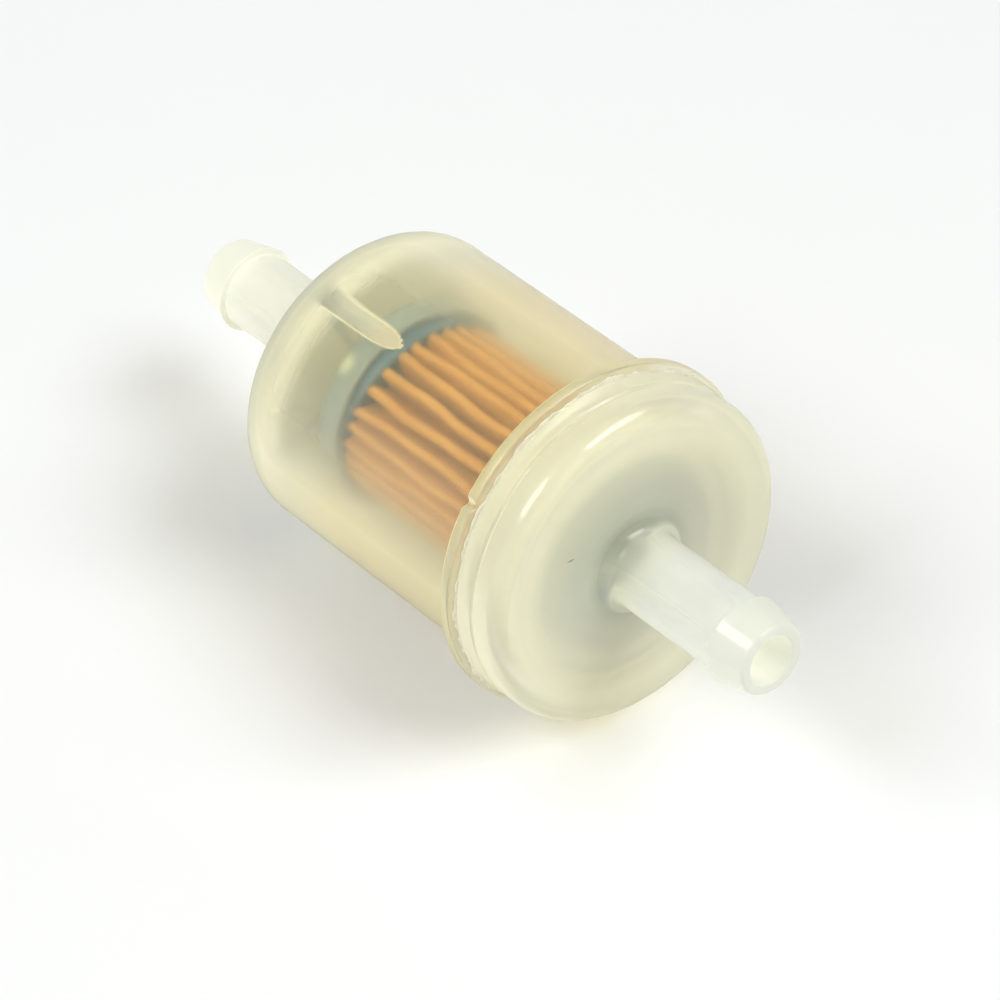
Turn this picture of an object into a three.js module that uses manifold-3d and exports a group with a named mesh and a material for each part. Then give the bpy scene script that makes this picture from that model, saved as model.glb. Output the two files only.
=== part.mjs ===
// In-line fuel filter for a small engine.
// A moulded cup and a moulded cap are spin-welded together at a flange. Each carries a hose barb.
// Between them sits a pleated paper element with a closed end cap at the inlet and an open one at
// the outlet. Units are millimetres. +X is the direction of flow, from the inlet to the outlet,
// +Z is up, and the origin is the middle of the filter on its axis.

import * as THREE from 'three';
import { mergeVertices } from 'three/addons/utils/BufferGeometryUtils.js';
import Module from 'manifold-3d';

const wasm = await Module();
wasm.setup();

// ---------------------------------------------------------------- driving dimensions

const OVERALL_LENGTH = 72; // from barb tip to barb tip
const TURN_STEPS = 64; // facets round every revolved piece

// Hose barbs for hose of 6.35 mm (1/4 in) bore, the same at both ends.
const STEM_RADIUS = 3.5;
const BARB_RADIUS = 4.0;
const BARB_TIP_RADIUS = 3.2;
const BARB_LENGTH = 3.6;
const BORE_RADIUS = 2.2;
const TIP_ROUND = 0.25;
const BARB_BACK_SLOPE = 0.1; // how far the barb's back leans along the axis
const ROOT_FILLET = 1.6;
const BORE_LEAD_IN = 0.8; // chamfer where the bore opens inside the filter

// Cup, with the inlet barb.
const WALL = 1.3;
const CUP_END_X = -17.7; // outer face of the cup's closed end
const CUP_RADIUS = 13.8;
const CUP_MOUTH_RADIUS = 13.9; // the mould's draft opens the cup towards its mouth
const CUP_CORNER = 3.2;
const FLANGE_ROOT_CHAMFER = 0.4;
const FLANGE_BACK_X = 12.8;
const FLANGE_THICKNESS = 1.1;
const FLANGE_RADIUS = 15.75;
const FLANGE_ROUND = 0.2;

// Locating ribs inside the cup's closed end: they centre the element and fade into the wall.
const RIB_COUNT = 4;
const RIB_WIDTH = 1.7;
const RIB_FIRST_ANGLE = 114;
const RIB_CREST_RADIUS = 9.8;
const RIB_CREST_END_X = -11.6;
const RIB_CREST_CHAMFER = 0.6;
const RIB_TIP_X = -4.5;
const RIB_TIP_LENGTH = 3.0; // the tongue narrows to its tip over this length

// Notch left in the flange's rim by the moulding gate.
const NOTCH_ANGLE = 143;
const NOTCH_DEPTH = 0.5;
const NOTCH_LENGTH = 1.6;

// Weld between the two flanges, with its squeezed-out flash.
const WELD_THICKNESS = 0.5;
const WELD_GAP = 0.05; // between the weld and each flange
const WELD_INNER_RADIUS = 13.75;
const FLASH_RADIUS = 15.34;
const FLASH_RAGGEDNESS = 0.1;
const FLASH_STEPS = 120;

// Cap, with the outlet barb.
const CAP_FACE_X = 19.3;
const CAP_FACE_THICKNESS = 1.4;
const CAP_RADIUS = 15.12;
const CAP_CORNER = 2.3;
const CAP_RING_RADIUS = 15.28;
const CAP_RING_ROUND = 0.15;
const CAP_RING_LENGTH = 1.8;
const CAP_GROOVE_RADIUS = 14.95;
const CAP_GROOVE_HALF_WIDTH = 0.25;
const SKIRT_INNER_RADIUS = 13.6;
const SPIGOT_RADIUS = 12.1; // plugs into the cup's mouth
const SPIGOT_INNER_RADIUS = 11.2;
const SPIGOT_REACH = 1.6; // how far it goes past the back of the cap's rim
const SOCKET_RADIUS = 9.8; // ring on the inside of the cap that centres the element
const SOCKET_WALL = 0.8;
const SOCKET_DEPTH = 2.2;

// Pleated paper element.
const PLEAT_COUNT = 30;
const PLEAT_FIRST_ANGLE = 122.5;
const PLEAT_OUTER_RADIUS = 8.6;
const PLEAT_INNER_RADIUS = 5.3;
const PAPER_THICKNESS = 0.4;
const FOLD_WIDTH = 0.9; // across the blunt outside of an outer fold
const FOLD_CREASE_WIDTH = 0.4; // across the inside of an outer fold
const ROOT_WIDTH = 0.5; // across the blunt outside of an inner fold
const ROOT_CREASE_WIDTH = 0.04; // across the sharp inside of an inner fold
const FOLD_BLUNTNESS = 0.12; // how far a fold's edges lie below its middle
const PLEAT_END_X = 13.0;

// The element's end caps and the potting that bonds the paper into them.
const END_CAP_RADIUS = 9.4;
const END_CAP_WALL = 0.55;
const END_CAP_BASE = 0.9;
const END_CAP_DEPTH = 3.1;
const END_CAP_ROUND = 0.35;
const CLOSED_CAP_X = -11.8; // outer face of the closed end cap
const OPEN_CAP_X = 16.4; // outer face of the open end cap
const OPEN_CAP_HOLE_RADIUS = 3.6;
const POTTING_RADIUS = 8.7;
const POTTING_ROUND = 0.3;
const POTTING_TO_CORE = 0.2;
// The inlet end's potting set on a slope, so its surface climbs towards one side.
const POTTING_SURFACE_X = -8.8; // on the axis
const POTTING_RISE = 1.6; // from the axis to the outer folds
const POTTING_HIGH_SIDE = 80;

// Perforated core that keeps the pleats from collapsing inwards.
const CORE_RADIUS = 4.4;
const CORE_INNER_RADIUS = 3.5;
const CORE_HOLE_RADIUS = 1.0;
const CORE_HOLE_ROWS = 6;
const CORE_HOLE_PITCH = 3.6;
const CORE_HOLE_STEPS = 10;
const CORE_STEPS = 32;

// Glue strip that closes the pleated paper into a ring, in one valley between two pleats.
const SEAM_WIDTH = 0.36;
const SEAM_HEIGHT = 1.0;
const SEAM_RADIUS = 8.2;
const SEAM_VALLEY = 15; // which valley it lies in, counted from the first pleat

// Gasket between the open end cap and the inside of the cap.
const GASKET_RADIUS = 8.4;
const GASKET_INNER_RADIUS = 5.6;

const CLEARANCE = 0.1; // between coaxial pieces that rest on each other

// ---------------------------------------------------------------- worked-out places

const TIP_X = OVERALL_LENGTH / 2;
const BARB_BACK_X = TIP_X - BARB_LENGTH;
const CUP_INNER_END_X = CUP_END_X + WALL;
const CUP_INNER_RADIUS = CUP_RADIUS - WALL;
const FLANGE_FRONT_X = FLANGE_BACK_X + FLANGE_THICKNESS;
const CAP_BACK_X = FLANGE_FRONT_X + WELD_THICKNESS;
const CAP_GROOVE_X = CAP_BACK_X + CAP_RING_LENGTH;
const CAP_INNER_FACE_X = CAP_FACE_X - CAP_FACE_THICKNESS;

// ---------------------------------------------------------------- helpers

const degrees = THREE.MathUtils.degToRad;

// Points of an arc in the half-plane (x, r), from one angle to another; 0 degrees is along +x.
function arc(x, r, radius, from, to, steps = 6) {
  const points = [];
  for (let i = 0; i <= steps; i++) {
    const angle = degrees(from + ((to - from) * i) / steps);
    points.push([x + radius * Math.cos(angle), r + radius * Math.sin(angle)]);
  }
  return points;
}

// Signed volume of an indexed triangle mesh, positive when its faces point out.
function signedVolume(positions, index) {
  let volume = 0;
  const a = new THREE.Vector3();
  const b = new THREE.Vector3();
  const c = new THREE.Vector3();
  for (let i = 0; i < index.count; i += 3) {
    a.fromBufferAttribute(positions, index.getX(i));
    b.fromBufferAttribute(positions, index.getX(i + 1));
    c.fromBufferAttribute(positions, index.getX(i + 2));
    volume += a.dot(b.cross(c)) / 6;
  }
  return volume;
}

// A three.js geometry as a manifold solid, with shared vertices merged and faces turned outwards.
function solidFrom(geometry) {
  const bare = geometry.clone();
  bare.deleteAttribute('normal');
  bare.deleteAttribute('uv');
  const merged = mergeVertices(bare, 1e-4);
  const triVerts = Uint32Array.from(merged.index.array);
  if (signedVolume(merged.attributes.position, merged.index) < 0) {
    for (let i = 0; i < triVerts.length; i += 3) {
      const second = triVerts[i + 1];
      triVerts[i + 1] = triVerts[i + 2];
      triVerts[i + 2] = second;
    }
  }
  const vertProperties = Float32Array.from(merged.attributes.position.array);
  return new wasm.Manifold(new wasm.Mesh({ numProp: 3, vertProperties, triVerts }));
}

function geometryFrom(solid) {
  const mesh = solid.getMesh();
  const geometry = new THREE.BufferGeometry();
  geometry.setAttribute('position', new THREE.BufferAttribute(mesh.vertProperties, 3));
  geometry.setIndex(new THREE.BufferAttribute(mesh.triVerts, 1));
  geometry.computeVertexNormals();
  return geometry;
}

// Turns a closed outline of [x, r] points about the X axis.
function revolve(outline, steps = TURN_STEPS) {
  const profile = outline.map(([x, r]) => new THREE.Vector2(r, x));
  profile.push(profile[0].clone());
  const geometry = new THREE.LatheGeometry(profile, steps);
  geometry.rotateZ(-Math.PI / 2);
  return solidFrom(geometry);
}

// Extrudes a shape drawn in the YZ plane from one x to another.
function extrudeAlongX(shape, fromX, toX) {
  const geometry = new THREE.ExtrudeGeometry(shape, { depth: toX - fromX, bevelEnabled: false });
  // The shape's x becomes Y, its y becomes Z, and the extrusion runs along X.
  geometry.applyMatrix4(new THREE.Matrix4().set(0, 0, 1, fromX, 1, 0, 0, 0, 0, 1, 0, 0, 0, 0, 0, 1));
  return solidFrom(geometry);
}

function turned(geometry, angle) {
  return geometry.rotateX(degrees(angle));
}

function ringOutline(fromX, toX, innerRadius, outerRadius) {
  return [
    [fromX, innerRadius],
    [fromX, outerRadius],
    [toX, outerRadius],
    [toX, innerRadius],
  ];
}

// Outline of a hose barb from its bore to the root of its stem, for the +X end.
function barbOutline(faceX) {
  return [
    [TIP_X - TIP_ROUND, BORE_RADIUS],
    [TIP_X, BORE_RADIUS + TIP_ROUND],
    [TIP_X, BARB_TIP_RADIUS - TIP_ROUND],
    [TIP_X - TIP_ROUND, BARB_TIP_RADIUS],
    [BARB_BACK_X, BARB_RADIUS],
    [BARB_BACK_X - BARB_BACK_SLOPE, STEM_RADIUS],
    ...arc(faceX + ROOT_FILLET, STEM_RADIUS + ROOT_FILLET, ROOT_FILLET, 270, 180, 4),
  ];
}

const mirrored = (outline) => outline.map(([x, r]) => [-x, r]);

// ---------------------------------------------------------------- cup

function cupShell() {
  const corner = CUP_END_X + CUP_CORNER;
  const innerCorner = CUP_CORNER - WALL;
  const flangeTop = FLANGE_RADIUS - FLANGE_ROUND;
  return revolve([
    ...mirrored(barbOutline(-CUP_END_X)),
    ...arc(corner, CUP_RADIUS - CUP_CORNER, CUP_CORNER, 180, 90, 8),
    [FLANGE_BACK_X - FLANGE_ROOT_CHAMFER, CUP_MOUTH_RADIUS],
    [FLANGE_BACK_X, CUP_MOUTH_RADIUS + FLANGE_ROOT_CHAMFER],
    [FLANGE_BACK_X, flangeTop],
    [FLANGE_BACK_X + FLANGE_ROUND, FLANGE_RADIUS],
    [FLANGE_FRONT_X - FLANGE_ROUND, FLANGE_RADIUS],
    [FLANGE_FRONT_X, flangeTop],
    [FLANGE_FRONT_X, CUP_MOUTH_RADIUS - WALL],
    ...arc(CUP_INNER_END_X + innerCorner, CUP_INNER_RADIUS - innerCorner, innerCorner, 90, 180, 5),
    [CUP_INNER_END_X, BORE_RADIUS + BORE_LEAD_IN],
    [CUP_INNER_END_X - BORE_LEAD_IN, BORE_RADIUS],
    [-TIP_X + TIP_ROUND, BORE_RADIUS],
  ]);
}

// One locating rib: a tongue with a pointed tip, cut to a wedge that sinks into the wall.
function rib(angle) {
  const rootRadius = CUP_INNER_RADIUS + WALL / 2;
  const rootX = CUP_INNER_END_X - WALL / 2;
  const wedge = new THREE.Shape();
  wedge.moveTo(rootX, RIB_CREST_RADIUS);
  wedge.lineTo(RIB_CREST_END_X, RIB_CREST_RADIUS);
  wedge.lineTo(RIB_TIP_X, CUP_INNER_RADIUS + CLEARANCE);
  wedge.lineTo(RIB_TIP_X, rootRadius);
  wedge.lineTo(CUP_END_X + CUP_CORNER, rootRadius);
  wedge.lineTo(rootX, RIB_CREST_RADIUS + RIB_CREST_CHAMFER);
  const side = new THREE.ExtrudeGeometry(wedge, { depth: RIB_WIDTH * 2, bevelEnabled: false });
  side.translate(0, 0, -RIB_WIDTH);

  const tongue = new THREE.Shape();
  tongue.moveTo(CUP_INNER_END_X - WALL, -RIB_WIDTH / 2);
  const tipCentreX = RIB_TIP_X - RIB_TIP_LENGTH;
  const quarter = Math.PI / 2;
  tongue.absellipse(tipCentreX, 0, RIB_TIP_LENGTH, RIB_WIDTH / 2, -quarter, quarter, false);
  tongue.lineTo(CUP_INNER_END_X - WALL, RIB_WIDTH / 2);
  const options = { depth: CUP_RADIUS, bevelEnabled: false, curveSegments: 8 };
  const plan = new THREE.ExtrudeGeometry(tongue, options);
  // The tongue is drawn in x and z, and rises along +Y from the axis.
  plan.rotateX(-Math.PI / 2);

  return solidFrom(turned(side, angle)).intersect(solidFrom(turned(plan, angle)));
}

function flangeNotch() {
  const notch = new THREE.Shape();
  notch.moveTo(FLANGE_RADIUS - NOTCH_DEPTH, 0);
  notch.lineTo(FLANGE_RADIUS + 1, -NOTCH_LENGTH);
  notch.lineTo(FLANGE_RADIUS + 1, NOTCH_LENGTH / 2);
  const cutter = extrudeAlongX(notch, FLANGE_BACK_X - 1, FLANGE_FRONT_X + 1);
  return cutter.rotate([NOTCH_ANGLE, 0, 0]);
}

function filterCup() {
  let cup = cupShell();
  for (let i = 0; i < RIB_COUNT; i++) {
    cup = cup.add(rib(RIB_FIRST_ANGLE + (360 * i) / RIB_COUNT));
  }
  return cup.subtract(flangeNotch());
}

// ---------------------------------------------------------------- weld and cap

// Outer radius of the flash, ragged but the same every time.
function flashRadius(angle) {
  const wander = Math.sin(7 * angle) + Math.sin(19 * angle + 1) + Math.sin(43 * angle + 2);
  return FLASH_RADIUS + (FLASH_RAGGEDNESS * wander) / 3;
}

function weldBead() {
  const outline = new THREE.Shape();
  for (let i = 0; i < FLASH_STEPS; i++) {
    const angle = (2 * Math.PI * i) / FLASH_STEPS;
    const radius = flashRadius(angle);
    const point = [radius * Math.cos(angle), radius * Math.sin(angle)];
    if (i === 0) outline.moveTo(...point);
    else outline.lineTo(...point);
  }
  outline.closePath();
  const hole = new THREE.Path();
  hole.absarc(0, 0, WELD_INNER_RADIUS, 0, 2 * Math.PI, true);
  outline.holes.push(hole);
  return extrudeAlongX(outline, FLANGE_FRONT_X + WELD_GAP, CAP_BACK_X - WELD_GAP);
}

function outletCap() {
  const spigotEnd = CAP_BACK_X - SPIGOT_REACH;
  const socketEnd = CAP_INNER_FACE_X - SOCKET_DEPTH;
  const innerCorner = CAP_CORNER - CAP_FACE_THICKNESS;
  return revolve([
    ...barbOutline(CAP_FACE_X),
    ...arc(CAP_FACE_X - CAP_CORNER, CAP_RADIUS - CAP_CORNER, CAP_CORNER, 0, 90, 8),
    [CAP_GROOVE_X + CAP_GROOVE_HALF_WIDTH, CAP_RADIUS],
    [CAP_GROOVE_X, CAP_GROOVE_RADIUS],
    [CAP_GROOVE_X - CAP_GROOVE_HALF_WIDTH, CAP_RADIUS],
    [CAP_BACK_X + CAP_RING_ROUND, CAP_RING_RADIUS],
    [CAP_BACK_X, CAP_RING_RADIUS - CAP_RING_ROUND],
    [CAP_BACK_X, SKIRT_INNER_RADIUS],
    ...arc(CAP_INNER_FACE_X - innerCorner, SKIRT_INNER_RADIUS - innerCorner, innerCorner, 90, 0, 4),
    [CAP_INNER_FACE_X, SPIGOT_RADIUS],
    [spigotEnd, SPIGOT_RADIUS],
    [spigotEnd, SPIGOT_INNER_RADIUS],
    [CAP_INNER_FACE_X, SPIGOT_INNER_RADIUS],
    [CAP_INNER_FACE_X, SOCKET_RADIUS + SOCKET_WALL],
    [socketEnd, SOCKET_RADIUS + SOCKET_WALL],
    [socketEnd, SOCKET_RADIUS],
    [CAP_INNER_FACE_X, SOCKET_RADIUS],
    [CAP_INNER_FACE_X, BORE_RADIUS + BORE_LEAD_IN],
    [CAP_INNER_FACE_X + BORE_LEAD_IN, BORE_RADIUS],
  ]);
}

// ---------------------------------------------------------------- filter element

// One side of the folded paper's section. Outer and inner folds take turns round the axis, and
// each is three points wide. An outer fold's edges lie inside its middle, an inner fold's outside.
function pleatPoints(outerRadius, innerRadius, outerWidth, innerWidth) {
  const folds = [
    { radius: outerRadius, width: outerWidth, edge: -FOLD_BLUNTNESS },
    { radius: innerRadius, width: innerWidth, edge: FOLD_BLUNTNESS },
  ];
  const points = [];
  for (let i = 0; i < 2 * PLEAT_COUNT; i++) {
    const { radius, width, edge } = folds[i % 2];
    const middle = degrees(PLEAT_FIRST_ANGLE + (i * 180) / PLEAT_COUNT);
    for (const side of [-1, 0, 1]) {
      const angle = middle + (side * width) / 2 / radius;
      const r = radius + (side === 0 ? 0 : edge);
      points.push(new THREE.Vector2(r * Math.cos(angle), r * Math.sin(angle)));
    }
  }
  return points;
}

// Cuts a solid at the surface of the inlet end's potting and keeps what stands above it, or what
// lies below it if side is -1.
function cutAtPotting(solid, side = 1) {
  const climb = POTTING_RISE / PLEAT_OUTER_RADIUS;
  const angle = degrees(POTTING_HIGH_SIDE);
  const normal = new THREE.Vector3(1, -climb * Math.cos(angle), -climb * Math.sin(angle));
  const height = (POTTING_SURFACE_X + Math.min(side, 0) * CLEARANCE) / normal.length();
  normal.setLength(side);
  return solid.trimByPlane(normal.toArray(), side * height);
}

// The sheet is the space between two zigzags, and each fold is widest on its convex side.
function pleatedElement() {
  const half = PAPER_THICKNESS / 2;
  const outside = pleatPoints(
    PLEAT_OUTER_RADIUS,
    PLEAT_INNER_RADIUS + half,
    FOLD_WIDTH,
    ROOT_CREASE_WIDTH
  );
  const inside = pleatPoints(
    PLEAT_OUTER_RADIUS - PAPER_THICKNESS,
    PLEAT_INNER_RADIUS - half,
    FOLD_CREASE_WIDTH,
    ROOT_WIDTH
  );
  const section = new THREE.Shape(outside);
  section.holes.push(new THREE.Path(inside.reverse()));
  return cutAtPotting(extrudeAlongX(section, POTTING_SURFACE_X - POTTING_RISE, PLEAT_END_X));
}

function closedEndCap() {
  const rimEnd = CLOSED_CAP_X + END_CAP_DEPTH;
  return revolve([
    [CLOSED_CAP_X, 0],
    [CLOSED_CAP_X, END_CAP_RADIUS - END_CAP_ROUND],
    [CLOSED_CAP_X + END_CAP_ROUND, END_CAP_RADIUS],
    [rimEnd, END_CAP_RADIUS],
    [rimEnd, END_CAP_RADIUS - END_CAP_WALL],
    [CLOSED_CAP_X + END_CAP_BASE, END_CAP_RADIUS - END_CAP_WALL],
    [CLOSED_CAP_X + END_CAP_BASE, 0],
  ]);
}

function openEndCap() {
  const rimEnd = OPEN_CAP_X - END_CAP_DEPTH;
  return revolve([
    [OPEN_CAP_X, OPEN_CAP_HOLE_RADIUS],
    [OPEN_CAP_X, END_CAP_RADIUS - END_CAP_ROUND],
    [OPEN_CAP_X - END_CAP_ROUND, END_CAP_RADIUS],
    [rimEnd, END_CAP_RADIUS],
    [rimEnd, END_CAP_RADIUS - END_CAP_WALL],
    [OPEN_CAP_X - END_CAP_BASE, END_CAP_RADIUS - END_CAP_WALL],
    [OPEN_CAP_X - END_CAP_BASE, OPEN_CAP_HOLE_RADIUS],
  ]);
}

function inletPotting() {
  const fromX = CLOSED_CAP_X + END_CAP_BASE + CLEARANCE;
  const toX = POTTING_SURFACE_X + 2 * POTTING_RISE;
  const block = revolve([
    [fromX, 0],
    [fromX, POTTING_RADIUS],
    [toX, POTTING_RADIUS],
    [toX, 0],
  ]);
  return cutAtPotting(block, -1);
}

function outletPotting() {
  const fromX = PLEAT_END_X + CLEARANCE;
  const toX = OPEN_CAP_X - END_CAP_BASE - CLEARANCE;
  const innerRadius = CORE_RADIUS + POTTING_TO_CORE;
  return revolve([
    [fromX, innerRadius],
    [fromX, POTTING_RADIUS - POTTING_ROUND],
    [fromX + POTTING_ROUND, POTTING_RADIUS],
    [toX, POTTING_RADIUS],
    [toX, innerRadius],
  ]);
}

// Thin tube with rows of cross holes, each row turned by half a pitch from the one before.
function coreTube() {
  const fromX = POTTING_SURFACE_X - POTTING_RISE;
  const toX = OPEN_CAP_X - END_CAP_BASE - CLEARANCE;
  let tube = revolve(ringOutline(fromX, toX, CORE_INNER_RADIUS, CORE_RADIUS), CORE_STEPS);
  const firstX = (fromX + toX) / 2 - ((CORE_HOLE_ROWS - 1) * CORE_HOLE_PITCH) / 2;
  for (let row = 0; row < CORE_HOLE_ROWS; row++) {
    for (const angle of [0, 90]) {
      const [radius, length] = [CORE_HOLE_RADIUS, 3 * CORE_RADIUS];
      const drill = new THREE.CylinderGeometry(radius, radius, length, CORE_HOLE_STEPS);
      turned(drill, angle + (row % 2) * 45);
      drill.translate(firstX + row * CORE_HOLE_PITCH, 0, 0);
      tube = tube.subtract(solidFrom(drill));
    }
  }
  return cutAtPotting(tube);
}

function seamStrip() {
  const pitch = 360 / PLEAT_COUNT;
  const fromX = POTTING_SURFACE_X - POTTING_RISE;
  const bar = new THREE.BoxGeometry(PLEAT_END_X - fromX, SEAM_HEIGHT, SEAM_WIDTH);
  bar.translate((fromX + PLEAT_END_X) / 2, SEAM_RADIUS - SEAM_HEIGHT / 2, 0);
  return cutAtPotting(solidFrom(turned(bar, PLEAT_FIRST_ANGLE + (SEAM_VALLEY + 0.5) * pitch)));
}

function outletGasket() {
  const fromX = OPEN_CAP_X + CLEARANCE;
  const toX = CAP_INNER_FACE_X - CLEARANCE;
  return revolve(ringOutline(fromX, toX, GASKET_INNER_RADIUS, GASKET_RADIUS));
}

// ---------------------------------------------------------------- assembly

const FINISHES = {
  nylon: { color: 0xe6e2bd, roughness: 0.25 },
  weld: { color: 0xf2efd2, roughness: 0.35 },
  paper: { color: 0xdb9f52, roughness: 0.9 },
  endCap: { color: 0x6c7873, roughness: 0.35 },
  potting: { color: 0x14191c, roughness: 0.4 },
  core: { color: 0xd8d8d0, roughness: 0.5 },
  glue: { color: 0x8a6a3c, roughness: 0.6 },
  rubber: { color: 0x1a1a1a, roughness: 0.8 },
};

const filter = new THREE.Group();

function addPiece(group, name, solid, finish) {
  const material = new THREE.MeshStandardMaterial({ ...FINISHES[finish], metalness: 0 });
  const mesh = new THREE.Mesh(geometryFrom(solid), material);
  mesh.name = name;
  group.add(mesh);
}

const housing = new THREE.Group();
addPiece(housing, 'filter_cup', filterCup(), 'nylon');
addPiece(housing, 'weld_bead', weldBead(), 'weld');
addPiece(housing, 'outlet_cap', outletCap(), 'nylon');
filter.add(housing);

const element = new THREE.Group();
addPiece(element, 'pleated_element', pleatedElement(), 'paper');
addPiece(element, 'seam_strip', seamStrip(), 'glue');
addPiece(element, 'core_tube', coreTube(), 'core');
addPiece(element, 'closed_end_cap', closedEndCap(), 'endCap');
addPiece(element, 'inlet_end_potting', inletPotting(), 'potting');
addPiece(element, 'open_end_cap', openEndCap(), 'endCap');
addPiece(element, 'outlet_end_potting', outletPotting(), 'potting');
addPiece(element, 'outlet_gasket', outletGasket(), 'rubber');
filter.add(element);

export default filter;
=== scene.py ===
"""In-line fuel filter: a translucent moulded cup and cap round a pleated paper element.

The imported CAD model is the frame. Its turned plastic, its paper and its end caps are replaced
here by finer pieces of the same size. +X is the direction of flow and the X axis is the filter's
axis. Lengths below are in millimetres until a piece is built, which turns them into metres.
Angles round the axis are in degrees, from +Y towards +Z.
"""

import math

import bmesh
import bpy
from mathutils import Matrix, Vector


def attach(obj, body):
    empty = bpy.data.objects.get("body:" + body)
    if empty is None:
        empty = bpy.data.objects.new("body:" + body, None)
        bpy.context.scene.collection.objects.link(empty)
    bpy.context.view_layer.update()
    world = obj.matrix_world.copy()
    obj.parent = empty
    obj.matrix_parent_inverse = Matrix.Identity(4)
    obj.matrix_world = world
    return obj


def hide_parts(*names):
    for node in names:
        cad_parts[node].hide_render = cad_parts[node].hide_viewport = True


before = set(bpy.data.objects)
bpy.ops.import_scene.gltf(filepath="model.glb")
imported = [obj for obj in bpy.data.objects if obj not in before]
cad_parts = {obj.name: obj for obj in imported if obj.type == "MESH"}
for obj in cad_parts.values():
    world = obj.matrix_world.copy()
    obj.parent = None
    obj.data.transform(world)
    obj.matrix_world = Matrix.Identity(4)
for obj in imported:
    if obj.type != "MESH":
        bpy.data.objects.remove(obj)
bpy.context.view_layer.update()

MM = 0.001

# ---------------- sizes, the same as in the CAD model unless a comment says otherwise

TIP_X = 36.0
BARB_BACK_X = 32.4
STEM_RADIUS = 3.5
BARB_RADIUS = 4.0
BARB_TIP_RADIUS = 3.2
BARB_BACK_SLOPE = 0.1  # how far the back of the barb leans along the stem
BORE_RADIUS = 2.2
ROOT_FILLET = 1.1  # tighter than in the CAD model

CUP_END_X = -17.7
CUP_RADIUS = 13.8
CUP_MOUTH_RADIUS = 13.9
CUP_CORNER = 3.2
WALL = 1.3
CUP_INNER_RADIUS = CUP_RADIUS - WALL
FLANGE_BACK_X = 12.8
FLANGE_FRONT_X = 13.9
FLANGE_RADIUS = 15.75

RIB_ANGLES = [114, 204, 294, 24]
RIB_WIDTH = 1.7
RIB_CREST_RADIUS = 9.8
RIB_CREST_END_X = -11.6
RIB_TIP_X = -4.5
RIB_TIP_LENGTH = 3.0

NOTCH_ANGLE = 143
NOTCH_DEPTH = 0.5
NOTCH_HALF_WIDTH = 2.4  # degrees round the rim
NOTCHED_RIM = 0.8  # how deep from its rim the flange is moved by the notch

CAP_BACK_X = 14.4
CAP_GROOVE_X = 16.2
CAP_GROOVE_HALF_WIDTH = 0.25
CAP_GROOVE_DEPTH = 0.17
CAP_FACE_X = 19.3
CAP_INNER_FACE_X = 17.9
CAP_RADIUS = 15.12
CAP_CORNER = 2.3
CAP_RING_RADIUS = 15.28
SKIRT_INNER_RADIUS = 13.6
SPIGOT_RADIUS = 12.1
SPIGOT_INNER_RADIUS = 11.2
SPIGOT_END_X = 12.8
SOCKET_RADIUS = 9.8
SOCKET_WALL = 0.8
SOCKET_END_X = 15.7

WELD_INNER_RADIUS = 13.75
WELD_GAP = 0.05  # on each side, between the weld and what it joins
FLASH_RADIUS = 15.34
FLASH_HEIGHT = 0.5  # of the fin at the weld's edge, which is thinner than in the CAD model
FLASH_X = 14.1

PLEAT_COUNT = 30
PLEAT_FIRST_ANGLE = 122.5
SEAM_VALLEY = 15  # where the seam strip lies, counted from the first pleat
PLEAT_OUTER_RADIUS = 8.6
PLEAT_INNER_RADIUS = 5.3
PAPER_THICKNESS = 0.24  # thinner than in the CAD model
OUTER_FOLD_RADIUS = 0.45  # the CAD model's folds are blunt and evenly spaced
INNER_FOLD_RADIUS = 0.26
PLEAT_END_X = 13.0

END_CAP_RADIUS = 9.4
END_CAP_WALL = 0.55
END_CAP_BASE = 0.9
END_CAP_DEPTH = 3.1
CLOSED_CAP_X = -11.8
CLOSED_CAP_CORNER = 1.3  # rounder than in the CAD model
OPEN_CAP_X = 16.4
OPEN_CAP_HOLE_RADIUS = 3.6
POTTING_RADIUS = 8.7
POTTING_BORE_RADIUS = 4.6  # of the outlet end's potting
POTTING_GAP = 0.1  # between the potting and what it touches
POTTING_SURFACE_X = -8.8  # of the inlet end's potting, on the axis
POTTING_RISE = 1.6  # of its sloping surface, from the axis to the outer folds
POTTING_HIGH_SIDE = 80

# Facets round a turned piece, and how its outline is divided.
TURN_STEPS = 480
WELD_STEPS = 1440
POTTING_STEPS = 240
END_CAP_STEPS = 160
ARC_STEPS = 8  # in a fillet
LONGEST_STRAIGHT = 1.5
PINHOLE_RADIUS = 0.02  # left on the axis of a turned piece that has no bore

# The filter lies on its flange and on the round edge of the cup's closed end.
FLOOR_TILT = math.atan2(FLANGE_RADIUS - CUP_RADIUS, FLANGE_BACK_X - CUP_END_X - CUP_CORNER)

# ---------------------------------------------------------------- turned meshes

STRAIGHT = math.radians(179)  # a corner that opens wider than this has no fillet
FILLET_SHARE = 0.49  # how much of each side beside a corner its fillet may take


def fillet(before, corner, after, radius):
    """Points of the arc that rounds a corner of an outline, or the corner itself."""
    corner = Vector(corner)
    to_before = Vector(before) - corner
    to_after = Vector(after) - corner
    opening = to_before.angle(to_after, math.pi)
    if radius <= 0 or opening > STRAIGHT:
        return [tuple(corner)]
    most_reach = FILLET_SHARE * min(to_before.length, to_after.length)
    reach = min(radius / math.tan(opening / 2), most_reach)
    radius = reach * math.tan(opening / 2)
    middle = (to_before.normalized() + to_after.normalized()).normalized()
    centre = corner + middle * (radius / math.sin(opening / 2))
    start = corner + to_before.normalized() * reach - centre
    end = corner + to_after.normalized() * reach - centre
    sweep = start.angle_signed(end)
    points = []
    for i in range(ARC_STEPS + 1):
        turn = Matrix.Rotation(-sweep * i / ARC_STEPS, 2)
        points.append(tuple(centre + turn @ start))
    return points


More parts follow.
